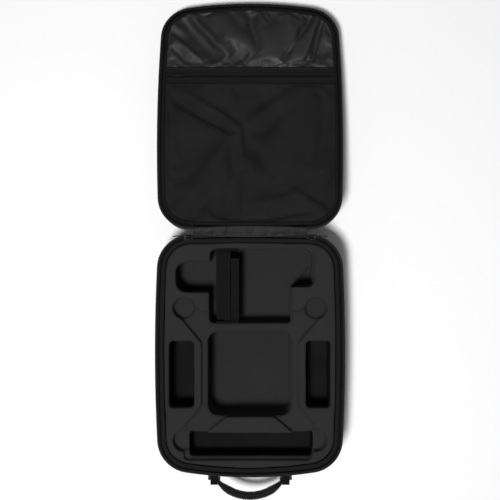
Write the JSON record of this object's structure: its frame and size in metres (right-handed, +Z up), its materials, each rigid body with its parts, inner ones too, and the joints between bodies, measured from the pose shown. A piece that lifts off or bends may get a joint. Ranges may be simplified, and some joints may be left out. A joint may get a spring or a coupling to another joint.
{
  "type": "drone carrying case",
  "caption": "Moulded soft-shell carrying case, standing open, with a foam insert cut for a quadcopter and its controller, a zipped mesh pocket in the lid and a padded end handle.",
  "frame": {"origin": "centre of the base's flat bottom face", "axes": "+X across the case, +Y from the handle end to the hinge and the open lid, +Z up"},
  "size_m": [0.35, 0.942, 0.1626],
  "materials": {
    "shell_fabric": "woven nylon laminated on moulded foam",
    "binding_tape": "ribbed binding tape",
    "zip_tape": "woven zip tape",
    "zip_coil": "nylon coil",
    "hinge_fabric": "satin-backed hinge fabric",
    "foam": "brushed foam",
    "webbing": "woven webbing",
    "mount_plastic": "moulded plastic",
    "dark_steel": "black lacquered metal",
    "satin": "shiny satin",
    "mesh": "fine knitted mesh"
  },
  "bodies": {
    "base": {"base_shell": "shell_fabric", "base_piping": "binding_tape", "base_zip_tape": "zip_tape", "base_zip_coil": "zip_coil", "base_zip_stops": "zip_coil", "base_binding": "binding_tape", "hinge_gusset_base": "hinge_fabric", "foam_floor_pad": "foam", "foam_core_handle_end": "foam", "foam_core_front": "foam", "foam_core_rear": "foam", "foam_core_hinge_end": "foam", "foam_pod_layer_handle_end": "foam", "foam_pod_layer_front": "foam", "foam_pod_layer_rear": "foam", "foam_pod_layer_hinge_end": "foam", "foam_tray_layer_handle_end": "foam", "foam_tray_layer_front": "foam", "foam_tray_layer_rear": "foam", "foam_tray_layer_hinge_end": "foam", "strap_anchor": "webbing", "strap_keeper": "webbing", "handle_mount_right": "mount_plastic", "handle_mount_left": "mount_plastic", "handle_pin_right": "dark_steel", "handle_pin_left": "dark_steel", "handle_rivets": "dark_steel"},
    "lid": {"lid_shell": "shell_fabric", "lid_piping": "binding_tape", "lid_zip_tape": "zip_tape", "lid_zip_coil": "zip_coil", "lid_zip_stops": "zip_coil", "lid_binding": "binding_tape", "hinge_gusset_lid": "hinge_fabric", "lid_lining": "satin", "pocket_satin_panel": "satin", "pocket_zip_tape_upper": "zip_tape", "pocket_zip_tape_lower": "zip_tape", "pocket_mesh_panel": "mesh", "pocket_zip_coil": "zip_coil"},
    "handle": {"handle": "webbing"},
    "loop_strap": {"loop_strap": "webbing"},
    "hook_strap": {"hook_strap": "webbing", "strap_hook_patch": "webbing"},
    "zip_slider_right": {"zip_slider_right": "dark_steel"},
    "zip_slider_left": {"zip_slider_left": "dark_steel"},
    "zip_pull_right": {"zip_pull_right": "dark_steel"},
    "zip_pull_left": {"zip_pull_left": "dark_steel"},
    "pocket_slider": {"pocket_slider": "dark_steel"},
    "pocket_pull": {"pocket_pull": "dark_steel"}
  },
  "joints": [
    {"name": "lid_hinge", "type": "hinge", "parent": "base", "child": "lid", "pos_m": [0, 0.2285, 0.158], "axis": [1, 0, 0], "range_deg": [0, 192.2]},
    {"name": "handle_swing", "type": "hinge", "parent": "base", "child": "handle", "pos_m": [0, -0.23, 0.112], "axis": [-1, 0, 0], "range_deg": [-70, 70]},
    {"name": "loop_strap_lift", "type": "hinge", "parent": "base", "child": "loop_strap", "pos_m": [0, 0.1904, 0.1477], "axis": [1, 0, 0], "range_deg": [-130, 0]},
    {"name": "hook_strap_drop", "type": "hinge", "parent": "base", "child": "hook_strap", "pos_m": [0, 0.0651, 0.1407], "axis": [-1, 0, 0], "range_deg": [0, 30]},
    {"name": "zip_slider_right_travel", "type": "hinge", "parent": "base", "child": "zip_slider_right", "pos_m": [0.10931, 0.16028, 0.158], "axis": [0, 0, -1], "range_deg": [0, 80]},
    {"name": "zip_slider_left_travel", "type": "hinge", "parent": "base", "child": "zip_slider_left", "pos_m": [-0.10931, 0.16028, 0.158], "axis": [0, 0, 1], "range_deg": [0, 80]},
    {"name": "zip_pull_right_flip", "type": "hinge", "parent": "zip_slider_right", "child": "zip_pull_right", "pos_m": [0.11923, 0.22117, 0.158], "axis": [0, 0, 1], "range_deg": [0, 90]},
    {"name": "zip_pull_left_flip", "type": "hinge", "parent": "zip_slider_left", "child": "zip_pull_left", "pos_m": [-0.11923, 0.22117, 0.158], "axis": [0, 0, -1], "range_deg": [0, 90]},
    {"name": "pocket_slider_travel", "type": "slide", "parent": "lid", "child": "pocket_slider", "axis": [1, 0, 0], "range_m": [0, 0.275]},
    {"name": "pocket_pull_flip", "type": "hinge", "parent": "pocket_slider", "child": "pocket_pull", "pos_m": [-0.143, 0.52558, 0.09112], "axis": [0, -0.9774, 0.2113], "range_deg": [0, 170]}
  ]
}
